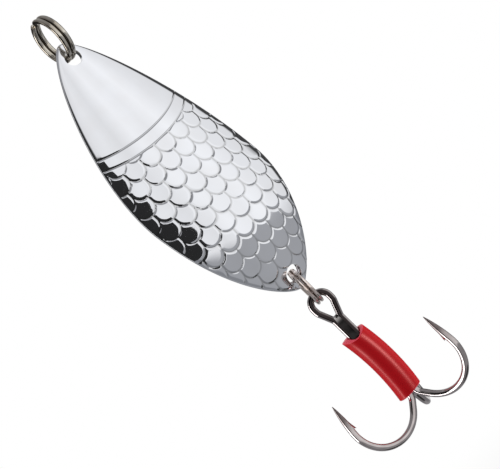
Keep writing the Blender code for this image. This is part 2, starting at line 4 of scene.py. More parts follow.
import bmesh
import bpy
import numpy as np
from mathutils import Matrix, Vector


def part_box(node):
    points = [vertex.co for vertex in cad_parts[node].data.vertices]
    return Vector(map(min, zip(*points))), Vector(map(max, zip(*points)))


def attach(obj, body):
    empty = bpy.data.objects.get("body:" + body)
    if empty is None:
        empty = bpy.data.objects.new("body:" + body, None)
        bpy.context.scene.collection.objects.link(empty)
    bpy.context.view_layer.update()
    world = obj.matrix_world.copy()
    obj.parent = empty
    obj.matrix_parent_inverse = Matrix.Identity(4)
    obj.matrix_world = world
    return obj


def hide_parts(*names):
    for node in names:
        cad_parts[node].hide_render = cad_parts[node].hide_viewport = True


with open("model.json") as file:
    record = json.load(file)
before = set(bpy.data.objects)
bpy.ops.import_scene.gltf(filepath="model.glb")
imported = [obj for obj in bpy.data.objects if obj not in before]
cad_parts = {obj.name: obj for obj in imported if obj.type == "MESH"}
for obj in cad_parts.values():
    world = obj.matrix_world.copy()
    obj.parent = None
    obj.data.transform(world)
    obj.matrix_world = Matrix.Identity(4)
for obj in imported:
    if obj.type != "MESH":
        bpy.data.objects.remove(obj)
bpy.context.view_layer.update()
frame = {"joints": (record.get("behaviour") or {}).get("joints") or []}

# Front split ring
# Two close turns of spring steel wire, plated in a dark, warm nickel, that the line is tied to.
# The wire is wound cold and cut off, so the turns lie side by side, and one short step at the top
# carries it over from the first turn to the second, between the two cut ends. Lengths are in mm.
MM = 0.001
FRONT_RING_OUTSIDE = 9.8
FRONT_RING_WIRE = 0.99
FRONT_RING_PITCH = 1.03
FRONT_RING_MIDDLE = np.array((0.0, 0.0, -4.5))
RING_STEP = math.radians(13)
RING_END = math.radians(9.5)
RING_ROWS, RING_AROUND = 301, 28
CUT_EDGE = 0.12
QUARTER_CIRCLE = np.linspace(0.0, math.pi / 2, 6)
DOUBLES_WITHIN = 2e-7
SHARP_ABOVE = math.radians(38)
FRONT_NICKEL_PALE = (0.74, 0.70, 0.62)
FRONT_NICKEL_DARK = (0.46, 0.41, 0.345)
FRONT_FLANK_PAINTED_SHADE, FRONT_FAR_FLANK = (0.16, 0.125, 0.09), 0.8


def wire_rows(path, side, radius, around):
    """Sections of a round wire. Row i is a circle of radius[i] about path[i], square to the path: its
    points are cos(a) side + sin(a) other, where other is the path's direction crossed with side. The unit
    spokes of the circles and the path's directions are returned too."""
    along = np.gradient(path, axis=0)
    along /= np.linalg.norm(along, axis=1, keepdims=True)
    other = np.cross(along, side)
    other /= np.linalg.norm(other, axis=1, keepdims=True)
    square = np.cross(other, along)
    angle = np.linspace(0.0, 2 * math.pi, around, endpoint=False)[None, :, None]
    spokes = np.cos(angle) * square[:, None] + np.sin(angle) * other[:, None]
    return path[:, None] + radius[:, None, None] * spokes, spokes, along


def wound_wire(outside, wire, pitch, far_flank):
    """Split ring as rows of wire sections in the YZ plane. The first parameter is the winding angle t:
    the section's middle is (offset, r sin t, r cos t), and the offset goes from minus to plus half the
    pitch in a sine step at the top. The second runs round the wire. Quarter circles round the cut ends.
    Each point's share of painted shade on the wire's flanks is returned too: the square of how squarely
    it faces the other turn, times far_flank on the far side, and none in the middle of a cut end."""
    middle = (outside - wire) / 2
    edge = CUT_EDGE * (1 - np.cos(QUARTER_CIRCLE)) / middle
    start, stop = RING_END, 4 * math.pi - RING_END
    between = np.linspace(start, stop, RING_ROWS)[2:-2]
    turn = np.concatenate([start + edge, between, stop - edge[::-1]])
    end_radius = wire / 2 - CUT_EDGE + CUT_EDGE * np.sin(QUARTER_CIRCLE)
    radius = np.concatenate([end_radius, np.full(len(between), wire / 2), end_radius[::-1]])
    offset = np.sin(np.clip((turn - 2 * math.pi) / RING_STEP, -1, 1) * math.pi / 2) * pitch / 2
    outwards = np.stack([0 * turn, np.sin(turn), np.cos(turn)], axis=1)
    path = middle * outwards + offset[:, None] * np.array((1.0, 0.0, 0.0))
    rows, spokes, _ = wire_rows(path, outwards, radius, RING_AROUND)
    inner_side = spokes[..., 0] * np.sign(offset)[:, None] < 0
    flank = spokes[..., 0] ** 2 * np.where(inner_side, 1.0, far_flank)
    return rows, np.append(flank, (0.0, 0.0))


def skin(rows, ends=True, depth=None):
    """Points and faces over rows of closed loops. A four-sided face joins points k and k + 1 of row i to
    the same two of row i + 1, and a fan about its middle closes the first row and the last. Where each
    point's depth is given, faces are split along the diagonal that changes depth less."""
    count, around = rows.shape[:2]
    grid = np.arange(count * around).reshape(count, around)
    after = np.roll(grid, -1, axis=1)
    faces = np.stack([grid[:-1], after[:-1], after[1:], grid[1:]], axis=-1).reshape(-1, 4)
    if depth is not None:
        height = depth.ravel()[faces]
        other = np.abs(height[:, 0] - height[:, 2]) > np.abs(height[:, 1] - height[:, 3])
        faces = np.where(other[:, None], np.roll(faces, -1, axis=1), faces)
        faces = np.concatenate([faces[:, [0, 1, 2]], faces[:, [0, 2, 3]]])
    faces = faces.tolist()
    points = rows.reshape(-1, 3)
    if ends:
        first, last = np.full(around, len(points)), np.full(around, len(points) + 1)
        faces += np.stack([after[0], grid[0], first], axis=-1).tolist()
        faces += np.stack([grid[-1], after[-1], last], axis=-1).tolist()
        points = np.concatenate([points, rows[[0, -1]].mean(axis=1)])
    return points, faces


def add_piece(name, points, faces, material, marks=None):
    """One closed mesh at the origin, from points in mm: doubles at poles merged, faces turned outwards.
    marks gives each point's share of a tint, from 0 to 1, which the mesh keeps for its material: a real
    mark on some pieces, and painted shade or a painted highlight on others."""
    mesh = bpy.data.meshes.new(name)
    mesh.from_pydata((points * MM).tolist(), [], faces)
    if marks is not None:
        mesh.attributes.new("marks", "FLOAT", "POINT").data.foreach_set("value", marks.ravel())
    shape = bmesh.new()
    shape.from_mesh(mesh)
    bmesh.ops.remove_doubles(shape, verts=shape.verts, dist=DOUBLES_WITHIN)
    bmesh.ops.recalc_face_normals(shape, faces=shape.faces)
    if shape.calc_volume(signed=True) < 0:  # a thin, hollow-sided piece can come out inside out
        bmesh.ops.reverse_faces(shape, faces=shape.faces)
    shape.to_mesh(mesh)
    shape.free()
    mesh.shade_smooth()
    mesh.set_sharp_from_angle(angle=SHARP_ABOVE)
    mesh.materials.append(material)
    piece = bpy.data.objects.new(name, mesh)
    bpy.context.scene.collection.objects.link(piece)
    return piece


def spread(tree, value, low, high, first=0.0, last=1.0, eased=False):
    """A value carried over from the span low to high to the span first to last, and held at its ends."""
    node = tree.nodes.new("ShaderNodeMapRange")
    node.interpolation_type = "SMOOTHSTEP" if eased else "LINEAR"
    for name, number in (("From Min", low), ("From Max", high), ("To Min", first), ("To Max", last)):
        node.inputs[name].default_value = number
    tree.links.new(value, node.inputs["Value"])
    return node.outputs["Result"]


def mixed(tree, share, first, second, blend="MIX"):
    """The first colour with the second mixed or multiplied in by a share. A colour is a tuple or a socket."""
    node = tree.nodes.new("ShaderNodeMix")
    node.data_type = "RGBA"
    node.blend_type = blend
    tree.links.new(share, node.inputs["Factor"])
    for socket, colour in ((node.inputs["A"], first), (node.inputs["B"], second)):
        if isinstance(colour, tuple):
            socket.default_value = (*colour, 1.0)
        else:
            tree.links.new(colour, socket)
    return node.outputs["Result"]


def surface_marks_group():
    """What making and handling leave on a surface: Smudge is a soft cloud, Grain a fine one, both from 0
    to 1. Heights are multiplied by Upright, so a small one draws the clouds out along a hanging piece."""
    group = bpy.data.node_groups.new("surface_marks", "ShaderNodeTree")
    for name in ("Smudge Scale", "Grain Scale", "Upright"):
        group.interface.new_socket(name, in_out="INPUT", socket_type="NodeSocketFloat")
    for name in ("Smudge", "Grain"):
        group.interface.new_socket(name, in_out="OUTPUT", socket_type="NodeSocketFloat")
    nodes, links = group.nodes, group.links
    came, gone = nodes.new("NodeGroupInput"), nodes.new("NodeGroupOutput")
    place, stretch = nodes.new("ShaderNodeTexCoord"), nodes.new("ShaderNodeCombineXYZ")
    stretch.inputs["X"].default_value = stretch.inputs["Y"].default_value = 1.0
    links.new(came.outputs["Upright"], stretch.inputs["Z"])
    drawn = nodes.new("ShaderNodeVectorMath")
    drawn.operation = "MULTIPLY"
    links.new(place.outputs["Object"], drawn.inputs[0])
    links.new(stretch.outputs["Vector"], drawn.inputs[1])
    for name, detail, low, high in (("Smudge", 3.0, 0.35, 0.68), ("Grain", 2.0, 0.25, 0.75)):
        cloud = nodes.new("ShaderNodeTexNoise")
        cloud.inputs["Detail"].default_value = detail
        links.new(drawn.outputs["Vector"], cloud.inputs["Vector"])
        links.new(came.outputs[name + " Scale"], cloud.inputs["Scale"])
        links.new(spread(group, cloud.outputs["Fac"], low, high), gone.inputs[name])
    return group


SURFACE_MARKS = surface_marks_group()


def new_material(name):
    """An empty material, with its nodes and its shader."""
    material = bpy.data.materials.new(name)
    material.use_nodes = True
    return material, material.node_tree, material.node_tree.nodes["Principled BSDF"]


def surface_finish(
    name, pale, dark, smooth, rough, smudge_scale, grain_scale, grain_height, metallic=1.0, upright=1.0
):
    """A plated finish, or a plain one where metallic is 0: the smudge cloud moves its colour from pale to
    dark and its roughness from smooth to rough, and the grain cloud lifts its surface by up to
    grain_height, in metres."""
    material, tree, shader = new_material(name)
    shader.inputs["Metallic"].default_value = metallic
    marks = tree.nodes.new("ShaderNodeGroup")
    marks.node_tree = SURFACE_MARKS
    marks.inputs["Smudge Scale"].default_value = smudge_scale
    marks.inputs["Grain Scale"].default_value = grain_scale
    marks.inputs["Upright"].default_value = upright
    smudge = marks.outputs["Smudge"]
    tree.links.new(mixed(tree, smudge, pale, dark), shader.inputs["Base Color"])
    tree.links.new(spread(tree, smudge, 0.0, 1.0, smooth, rough), shader.inputs["Roughness"])
    bump = tree.nodes.new("ShaderNodeBump")
    bump.inputs["Distance"].default_value = grain_height
    tree.links.new(marks.outputs["Grain"], bump.inputs["Height"])
    tree.links.new(bump.outputs["Normal"], shader.inputs["Normal"])
    return material


def tint_by_share(material, tint, blend="MIX"):
    """Brings a tint into a material's colour, mixed or multiplied, by each point's share of the mark."""
    tree = material.node_tree
    colour = tree.nodes["Principled BSDF"].inputs["Base Color"]
    marks = tree.nodes.new("ShaderNodeAttribute")
    marks.attribute_name = "marks"
    tree.links.new(mixed(tree, marks.outputs["Fac"], colour.links[0].from_socket, tint, blend), colour)


front_nickel = surface_finish(
    "dark_warm_nickel", FRONT_NICKEL_PALE, FRONT_NICKEL_DARK, smooth=0.07, rough=0.12,
    smudge_scale=350.0, grain_scale=3000.0, grain_height=2e-7,
)
# Painted shade: the flanks darken where the two turns face each other, and a little less on their far sides.
tint_by_share(front_nickel, FRONT_FLANK_PAINTED_SHADE, "MULTIPLY")
front_rows, front_flank = wound_wire(FRONT_RING_OUTSIDE, FRONT_RING_WIRE, FRONT_RING_PITCH, FRONT_FAR_FLANK)
front_ring = add_piece("front_ring_wire", *skin(FRONT_RING_MIDDLE + front_rows), front_nickel, front_flank)
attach(front_ring, "front_ring")
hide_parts("front_split_ring")

# Spoon blade
# A leaf of brass sheet, 1.5 mm thick, blanked out, punched with two holes and then struck in one die
# that bellies it and presses two gill lines and rows of fish scales into its convex face. It is
# polished and chromed all over, and hangs by its front hole on the split ring.
BLADE_LENGTH, BLADE_HALF_WIDTH, BLADE_THICKNESS = 62.2, 13.5, 1.5
WIDEST, TIP_BLUNT, TAIL_BLUNT, FRONT_SHOULDER, REAR_SHOULDER = 36.2, 4.3, 3.1, 15.4, 15.7
EDGE_ROUND, EDGE_ROLL, EDGE_ROLL_LEAST, EDGE_ROLL_DEPTH = 0.45, 1.6, 0.7, 0.12
TIP_RISE, BELLY_RISE, BELLY_PLACE, TAIL_FALL = 0.8, 5.2, 43.5, 6.0
HEAD_SLOPE, TAIL_SLOPE = math.tan(math.radians(3)), math.tan(math.radians(33))
HEAD_RUN, BELLY_RUN, TAIL_RUN = 42.0, 8.7, 6.0
SECTION_EDGE_SINE, SECTION_LEAST_RADIUS = math.sin(math.radians(37)), 6.0
GILL_PLACES, GILL_RADIUS, GILL_WIDTH, GILL_DEPTH = (22.5, 24.95), 26.0, 0.17, 0.09
SCALE_PITCH, SCALE_ROW, SCALE_GROOVE_WIDTH, SCALE_GROOVE_DEPTH = 3.9, 2.95, 0.24, 0.11
SCALE_ROWS, SCALE_FLATNESS, SCALE_TILT = 15, 0.5, 0.018
TILT_ACROSS, TILT_ALONG, COLUMN_MARGIN = (5.1, 2.3), (3.7, -4.9), 0.25
SCALES_FADE, RIM_FADE, GROOVE_SHADE_POWER = 0.25, 0.3, 3
FRONT_HOLE_PLACE, FRONT_HOLE_RADIUS = 3.505, 1.605
REAR_HOLE_PLACE, REAR_HOLE_RADIUS = 59.03, 1.716
GILL_BEND = (5.0, 12.0, 19.0, 23.2, 32.0, 42.0), (0.0, 0.45, 1.0, 1.0, 0.45, 0.0)
HOLE_BRIM, PUNCH_REACH, PUNCH_AROUND = 0.2, 0.5, 64
HINGE_ABOVE_HOLE = 0.39
CURVE_POINTS, SLOPE_STEP = 5001, 0.05
HEAD_END, GILLS_FROM, GILLS_TO, TAIL_FROM, TAIL_END = 17.5, 19.3, 23.3, 60.6, 1.6
HEAD_ROWS, NECK_ROWS, GILL_ROWS, BELLY_ROWS, TAIL_ROWS = 45, 14, 66, 262, 17
CHROME = (0.905, 0.922, 0.965)
CHROME_WARM = (0.88, 0.89, 0.925)
GROOVE_PAINTED_SHADE = (0.58, 0.585, 0.595)
joint_place = {
    joint["name"]: np.array(joint["pos_m"]) / MM for joint in frame["joints"] if "pos_m" in joint
}


def bezier(*corners):
    """Dense points of a cubic Bezier curve: each corner times its share t^k (1 - t)^(3 - k)."""
    t = np.linspace(0.0, 1.0, CURVE_POINTS)[:, None]
    a, b, c, d = np.array(corners)
    return (1 - t) ** 3 * a + 3 * (1 - t) ** 2 * t * b + 3 * (1 - t) * t**2 * c + t**3 * d


TAIL_RISE = BELLY_RISE - TAIL_FALL
OUTLINE = np.concatenate([
    bezier((0, 0), (0, TIP_BLUNT), (WIDEST - FRONT_SHOULDER, BLADE_HALF_WIDTH), (WIDEST, BLADE_HALF_WIDTH)),
    bezier((WIDEST, BLADE_HALF_WIDTH), (WIDEST + REAR_SHOULDER, BLADE_HALF_WIDTH),
           (BLADE_LENGTH, TAIL_BLUNT), (BLADE_LENGTH, 0))[1:],
])
MIDLINE = np.concatenate([
    bezier((0, TIP_RISE), (HEAD_RUN, TIP_RISE + HEAD_RUN * HEAD_SLOPE),
           (BELLY_PLACE - BELLY_RUN, BELLY_RISE), (BELLY_PLACE, BELLY_RISE)),
    bezier((BELLY_PLACE, BELLY_RISE), (BELLY_PLACE + TAIL_RUN, BELLY_RISE),
           (BLADE_LENGTH - TAIL_RUN, TAIL_RISE + TAIL_RUN * TAIL_SLOPE), (BLADE_LENGTH, TAIL_RISE))[1:],
])


def section_radius(length):
    """Radius of the blade's arched section: its half width over the sine of its edge angle, or more."""
    half_width = np.interp(length, OUTLINE[:, 0], OUTLINE[:, 1])
    return np.hypot(half_width / SECTION_EDGE_SINE, SECTION_LEAST_RADIUS)


def edge_width(length):
    """Half width measured round the arch: radius times the arc sine of half width over radius."""
    radius = section_radius(length)
    return radius * np.arcsin(np.interp(length, OUTLINE[:, 0], OUTLINE[:, 1]) / radius)


def front_face(length, width):
    """The convex face: at a length from the tip, an arch of the section radius whose crown is the midline."""
    radius = section_radius(length)
    angle = width / radius
    rise = np.interp(length, MIDLINE[:, 0], MIDLINE[:, 1])
    return np.stack([radius * np.sin(angle), radius * (1 - np.cos(angle)) - rise, -length], axis=-1)


def into_blade(length, width):
    """Unit direction square to the convex face and into the sheet, from its slopes along and across."""
    across = front_face(length, width + SLOPE_STEP) - front_face(length, width - SLOPE_STEP)
    down = front_face(length + SLOPE_STEP, width) - front_face(length - SLOPE_STEP, width)
    inwards = np.cross(across, down)
    return inwards / np.linalg.norm(inwards, axis=-1, keepdims=True)


def scale_edges(length, width):
    """Where a point of the face lies among the scales. A scale is bounded by the half circle of its free
    edge towards the tail and by the free edges of the row before. Returns the scale's row, the point's
    place across and along in it, and the distance to the nearest edge."""
    radius = SCALE_PITCH / 2
    first_cusp = GILL_PLACES[1] - radius
    cusps = first_cusp + SCALE_ROW * np.arange(SCALE_ROWS)[:, None, None]
    shifts = np.where(np.arange(SCALE_ROWS) % 2, 0.0, radius)[:, None, None]
    beside = np.mod(width - shifts + radius, SCALE_PITCH) - radius
    edges = cusps + np.sqrt(np.maximum(radius**2 - beside**2, 0.0))
    row = (length > edges).sum(axis=0)
    shift = np.where(row % 2, 0.0, radius)
    across = np.mod(width - shift + radius, SCALE_PITCH) - radius
    before = np.mod(width - shift, SCALE_PITCH) - radius
    along = length - (first_cusp + SCALE_ROW * row)
    inside_own = radius - np.hypot(np.maximum(along, 0.0), across)
    outside_before = np.hypot(along + SCALE_ROW, before) - radius
    return row, across, along, np.maximum(np.minimum(inside_own, outside_before), 0.0)


def stamped_depth(length, width):
    """Depth of the pattern below the plain face. In a scale it is a narrow bell over the distance to the
    nearest edge, less a rise with the square of the distance from the scale's middle, which makes it
    flatter than the face, and a slight tilt of its own, a sine of its row and column. A gill line is a
    bell across an arc, and along its edge the face rolls off by the square of how near the edge is. The
    share of a groove is returned too."""
    gill = [place - GILL_RADIUS + np.sqrt(GILL_RADIUS**2 - width**2) for place in GILL_PLACES]
    gill_line = sum(np.exp(-(((length - line) / GILL_WIDTH) ** 2)) for line in gill)
    row, across, along, distance = scale_edges(length, width)
    groove = np.exp(-((distance / SCALE_GROOVE_WIDTH) ** 2))
    from_middle = across**2 + (along - (SCALE_PITCH / 2 - SCALE_ROW) / 2) ** 2
    flatter = SCALE_FLATNESS * from_middle / (2 * section_radius(length))
    column = np.floor((width - across) / SCALE_PITCH + COLUMN_MARGIN)
    lean_across = np.sin(TILT_ACROSS[0] * row + TILT_ACROSS[1] * column)
    lean_along = np.sin(TILT_ALONG[0] * row + TILT_ALONG[1] * column)
    tilt = SCALE_TILT * (lean_across * across + lean_along * along)
    in_scales = np.clip((length - gill[1]) / SCALES_FADE, 0.0, 1.0) * (row > 0)
    to_edge = edge_width(length) - EDGE_ROUND - np.abs(width)
    inland = np.clip(to_edge / RIM_FADE, 0.0, 1.0)
    depth = GILL_DEPTH * gill_line + in_scales * (SCALE_GROOVE_DEPTH * groove - flatter + tilt)
    half_width = np.interp(length, OUTLINE[:, 0], OUTLINE[:, 1])
    roll = EDGE_ROLL_LEAST + (EDGE_ROLL - EDGE_ROLL_LEAST) * half_width / BLADE_HALF_WIDTH
    roll_off = EDGE_ROLL_DEPTH * np.clip(1 - to_edge / roll, 0.0, 1.0) ** 2
    # Share of the painted shade in the grooves and gill lines, narrowed by a power.
    groove_shade = np.maximum(gill_line, in_scales * groove) ** GROOVE_SHADE_POWER
    return depth * inland + roll_off, groove_shade * inland


def blade_rows(lengths, front_columns, rim_steps, back_columns):
    """The blade as loops round its section. The first parameter is the length from the tip. The second
    runs across the convex face, round the edge, back across the hollow face and round the other edge.
    The edge is half an ellipse: offset EDGE_ROUND sin(a) outwards, depth by (1 - cos(a)) / 2 from the
    rolled face to the hollow one. On the convex face a loop bows towards the tail on the gill lines' arc,
    by its share of GILL_BEND, so that the lines run along the loops. Each point's depth and its share of
    a groove are returned too."""
    widths = edge_width(lengths)
    tangent = np.gradient(np.stack([lengths, widths], axis=1), axis=0)
    outwards = np.stack([-tangent[:, 1], tangent[:, 0]], axis=1)
    outwards /= np.linalg.norm(outwards, axis=1, keepdims=True)
    outwards[0], outwards[-1] = (-1.0, 0.0), (1.0, 0.0)
    widths[0] = widths[-1] = 0.0
    bend = np.linspace(0.0, math.pi, rim_steps + 2)[1:-1]
    drawn_in = EDGE_ROUND * (1 - np.sin(bend))
    face_length = lengths - EDGE_ROUND * outwards[:, 0]
    face_width = widths - EDGE_ROUND * outwards[:, 1]
    face_width[0] = face_width[-1] = 0.0
    share = np.linspace(-1.0, 1.0, front_columns)
    back_share = np.linspace(1.0, -1.0, back_columns)
    rim_length = lengths[:, None] - drawn_in * outwards[:, :1]
    rim_width = widths[:, None] - drawn_in * outwards[:, 1:]
    rim_width[0] = rim_width[-1] = 0.0
    rim_share = np.broadcast_to((1 - np.cos(bend)) / 2, rim_length.shape)
    rim_depth = EDGE_ROLL_DEPTH + (BLADE_THICKNESS - EDGE_ROLL_DEPTH) * rim_share
    front_width = face_width[:, None] * share
    gill_bend = np.interp(face_length, *GILL_BEND)[:, None]
    gill_arc = np.sqrt(GILL_RADIUS**2 - front_width**2) - np.sqrt(GILL_RADIUS**2 - face_width[:, None] ** 2)
    front_length = face_length[:, None] + gill_bend * gill_arc
    back_length = np.repeat(face_length[:, None], back_columns, axis=1)
    length = np.concatenate([front_length, rim_length, back_length, rim_length[:, ::-1]], axis=1)
    width = np.concatenate(
        [front_width, rim_width, face_width[:, None] * back_share, -rim_width[:, ::-1]], axis=1
    )
    stamped, groove = stamped_depth(front_length, front_width)
    stamped[[0, -1]], groove[[0, -1]] = EDGE_ROLL_DEPTH, 0.0
    back_depth = np.full(back_length.shape, BLADE_THICKNESS)
    depth = np.concatenate([stamped, rim_depth, back_depth, rim_depth[:, ::-1]], axis=1)
    grooves = np.zeros(depth.shape)
    grooves[:, :front_columns] = groove
    return front_face(length, width) + depth[..., None] * into_blade(length, width), depth, grooves


def hole_punch(length, radius):
    """A punch square to the sheet: circles along the local inward direction whose radius is even inside
    the sheet and, near both faces, opens on an eighth of a circle of radius HOLE_BRIM into a cone."""
    middle, inwards = front_face(length, 0.0), into_blade(length, 0.0)
    curl = QUARTER_CIRCLE / 2
    brim_depth = HOLE_BRIM * (math.sin(curl[-1]) - np.sin(curl))
    brim_radius = radius + HOLE_BRIM * (1 - np.cos(curl))
    depth = np.concatenate([[-PUNCH_REACH], brim_depth[::-1]])
    depth = np.concatenate([depth, BLADE_THICKNESS - depth[::-1]])
    radii = np.append(brim_radius[-1] + PUNCH_REACH, brim_radius[::-1])
    radii = np.concatenate([radii, radii[::-1]])
    path = middle + depth[:, None] * inwards
    return wire_rows(path, np.broadcast_to((1.0, 0.0, 0.0), path.shape), radii, PUNCH_AROUND)[0]


def punch_out(piece, punch):
    """Cuts the punch's solid out of the piece, with the exact solver, and leaves no modifier behind."""
    cut = piece.modifiers.new("punch", "BOOLEAN")
    cut.operation, cut.solver, cut.object = "DIFFERENCE", "EXACT", punch
    made = bpy.data.meshes.new_from_object(piece.evaluated_get(bpy.context.evaluated_depsgraph_get()))
    made.set_sharp_from_angle(angle=SHARP_ABOVE)
    piece.modifiers.clear()
    piece.data = made
    bpy.data.objects.remove(punch, do_unlink=True)


# Mirror chrome has faint smudges in its tint and gloss, the slow wave of a polished surface, and, at
# the bottom of the pressed grooves and gill lines, a darker grey tint that is painted shade.
chrome = surface_finish(
    "mirror_chrome", CHROME, CHROME_WARM, smooth=0.035, rough=0.06,
    smudge_scale=260.0, grain_scale=700.0, grain_height=1e-6,
)
tint_by_share(chrome, GROOVE_PAINTED_SHADE)
hole_middle = front_face(FRONT_HOLE_PLACE, 0.0) + BLADE_THICKNESS / 2 * into_blade(FRONT_HOLE_PLACE, 0.0)
blade_place = joint_place["blade_swing"] - hole_middle - np.array((0.0, 0.0, HINGE_ABOVE_HOLE))
# Loops lie closer together at the tip and the tail, and closest along the gill lines.
blade_lengths = np.concatenate([
    HEAD_END * np.linspace(0.0, 1.0, HEAD_ROWS)[:-1] ** 2,
    np.linspace(HEAD_END, GILLS_FROM, NECK_ROWS)[:-1],
    np.linspace(GILLS_FROM, GILLS_TO, GILL_ROWS)[:-1],
    np.linspace(GILLS_TO, TAIL_FROM, BELLY_ROWS),
    BLADE_LENGTH - TAIL_END * np.linspace(1.0, 0.0, TAIL_ROWS)[1:] ** 2,
])
blade_loops, blade_depth, blade_grooves = blade_rows(
    blade_lengths, front_columns=200, rim_steps=8, back_columns=20
)
blade_skin = skin(blade_place + blade_loops, ends=False, depth=blade_depth)
blade = add_piece("stamped_blade", *blade_skin, chrome, blade_grooves)
for hole_place, hole_radius in ((FRONT_HOLE_PLACE, FRONT_HOLE_RADIUS), (REAR_HOLE_PLACE, REAR_HOLE_RADIUS)):
    punch_out(blade, add_piece("punch", *skin(blade_place + hole_punch(hole_place, hole_radius)), chrome))
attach(blade, "blade")
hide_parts("spoon_blade")

# Rear split ring
# A smaller split ring of brighter nickel wire, wound in the same way, that joins the treble hook to
# the blade. It passes through the rear hole and through the hook's eye, and hangs edge on.
REAR_RING_OUTSIDE = 8.2
REAR_RING_WIRE = 0.72
REAR_RING_PITCH = 0.8
TAIL_TURN = math.radians(-23)
REAR_NICKEL_PALE = (0.95, 0.88, 0.85)
REAR_NICKEL_DARK = (0.76, 0.64, 0.58)
REAR_FLANK_PAINTED_SHADE, REAR_FAR_FLANK = (0.4, 0.31, 0.25), 0.1


def turned(points, angle):
    """Points turned by an angle about the upright axis: x cos - y sin, x sin + y cos."""
    spin = np.array(
        [[math.cos(angle), math.sin(angle), 0], [-math.sin(angle), math.cos(angle), 0], [0, 0, 1]]
    )
    return points @ spin


rear_nickel = surface_finish(
    "bright_pink_nickel", REAR_NICKEL_PALE, REAR_NICKEL_DARK, smooth=0.07, rough=0.12,
    smudge_scale=600.0, grain_scale=3000.0, grain_height=2e-7,
)
# Painted shade: the flanks darken where the two turns face each other, and hardly at all on their far sides.
tint_by_share(rear_nickel, REAR_FLANK_PAINTED_SHADE, "MULTIPLY")
rear_rows, rear_flank = wound_wire(REAR_RING_OUTSIDE, REAR_RING_WIRE, REAR_RING_PITCH, REAR_FAR_FLANK)
rear_skin = skin(joint_place["rear_ring_run"] + turned(rear_rows, TAIL_TURN))
rear_ring = add_piece("rear_ring_wire", *rear_skin, rear_nickel, rear_flank)
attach(rear_ring, "rear_ring")
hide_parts("rear_split_ring")

# Treble hook wires
# High-carbon steel wire, 1.3 mm thick, bent into a double hook with an eye, and a single hook laid
# behind it. The points are ground to long needles and the barbs are lifted with a chisel before the
# hooks are hardened, brazed together and plated in black nickel.
HOOK_WIRE = 1.3
WIRE_SPACING = 1.38
EYE_RADIUS, EYE_MIDDLE, EYE_STRETCH, EYE_TAPER, NECK_RADIUS = 1.965, -0.3, 0.5, math.radians(22), 1.5
SHANK_LENGTH = 18.3
FLARE_ANGLE, FLARE_RADIUS, FLARE_LENGTH = math.radians(44), 2.0, 1.6
BEND_RADIUS, POINT_LENGTH, POINT_LEAN_IN = 6.6, 6.0, math.radians(7)
POINT_TAPER, POINT_TIP_RADIUS, POINT_FULLNESS, GROUND_FADE = 5.6, 0.03, 0.8, 2.5
BARB_FROM_POINT, BARB_LENGTH, BARB_HEIGHT, BARB_LEAN = 5.3, 1.7, 0.5, 0.9
BARB_FALL, BARB_NARROWNESS = 1.4, 5
HOOK_TURN, LEG_TURN = math.radians(-31), math.radians(30)
EYE_SPACING, BEND_SPACING, LEAST_SPACING, SHANK_ROWS, HOOK_AROUND = 0.12, 0.11, 0.125, 60, 32
HOOK_NICKEL_PALE = (0.64, 0.585, 0.58)
HOOK_NICKEL_DARK = (0.48, 0.435, 0.43)
GROUND_TINT = (0.42, 0.39, 0.39)
# Painted dark reflection: the eye and shank are multiplied down to this colour above a ramp of height, less
# at glancing angles.
HOOK_PAINTED_DARK, PAINTED_DARK_FROM, PAINTED_DARK_TO = (0.07, 0.062, 0.063), -0.0925, -0.083
GLANCE_FROM, GLANCE_TO, GLANCE_TINT = 0.08, 0.34, 0.05
ROOT_3_HALF = math.sqrt(3) / 2
LEG, BACK_LEG = WIRE_SPACING / 2, WIRE_SPACING * ROOT_3_HALF
RIGHT, LEFT, BACK = (ROOT_3_HALF, -0.5), (-ROOT_3_HALF, -0.5), (0.0, 1.0)
MIRROR = np.array((-1.0, 1.0, 1.0))
hook_place = joint_place["hook_swing"]


def bent_wire(heading, runs, spacing):
    """Flat path of a bent wire, as lengths along it and (out, up) places. Each run is a length and the
    angle it turns through evenly; a step moves by its chord along its middle heading."""
    knots = np.concatenate([[0.0], np.cumsum([length for length, _ in runs])])
    headings = heading + np.concatenate([[0.0], np.cumsum([turn for _, turn in runs])])
    along = np.unique(np.concatenate([np.arange(0.0, knots[-1], spacing), knots]).round(6))
    along = along[np.concatenate([[True], np.diff(along) > spacing * LEAST_SPACING])]
    facing = np.interp(along, knots, headings)
    chord = np.diff(along) * np.sinc(np.diff(facing) / (2 * math.pi))
    middle = (facing[1:] + facing[:-1]) / 2
    out = np.concatenate([[0.0], np.cumsum(chord * np.cos(middle))])
    up = np.concatenate([[0.0], np.cumsum(chord * np.sin(middle))])
    return along, out, up


# The straight below the eye is as long as it takes to bring the wire in to the leg.
NECK_IN = NECK_RADIUS * (1 - math.cos(EYE_TAPER))
EYE_STRAIGHT = (EYE_RADIUS * math.cos(EYE_TAPER) - LEG - NECK_IN) / math.sin(EYE_TAPER)
BEND_TURN = math.pi - FLARE_ANGLE + POINT_LEAN_IN
_, eye_out, eye_up = bent_wire(
    0.0,
    [
        (EYE_RADIUS * math.pi / 2, -math.pi / 2),
        (EYE_STRETCH, 0.0),
        (EYE_RADIUS * EYE_TAPER, -EYE_TAPER),
        (EYE_STRAIGHT, 0.0),
        (NECK_RADIUS * EYE_TAPER, EYE_TAPER),
    ],
    EYE_SPACING,
)
eye_up += EYE_MIDDLE + EYE_RADIUS
shank_top = eye_up[-1]
shank_end = shank_top - SHANK_LENGTH
bend_along, bend_out, bend_up = bent_wire(
    -math.pi / 2,
    [
        (FLARE_RADIUS * FLARE_ANGLE, FLARE_ANGLE),
        (FLARE_LENGTH, 0.0),
        (BEND_RADIUS * BEND_TURN, BEND_TURN),
        (POINT_LENGTH, 0.0),
    ],
    BEND_SPACING,
)
to_point = bend_along[-1] - bend_along
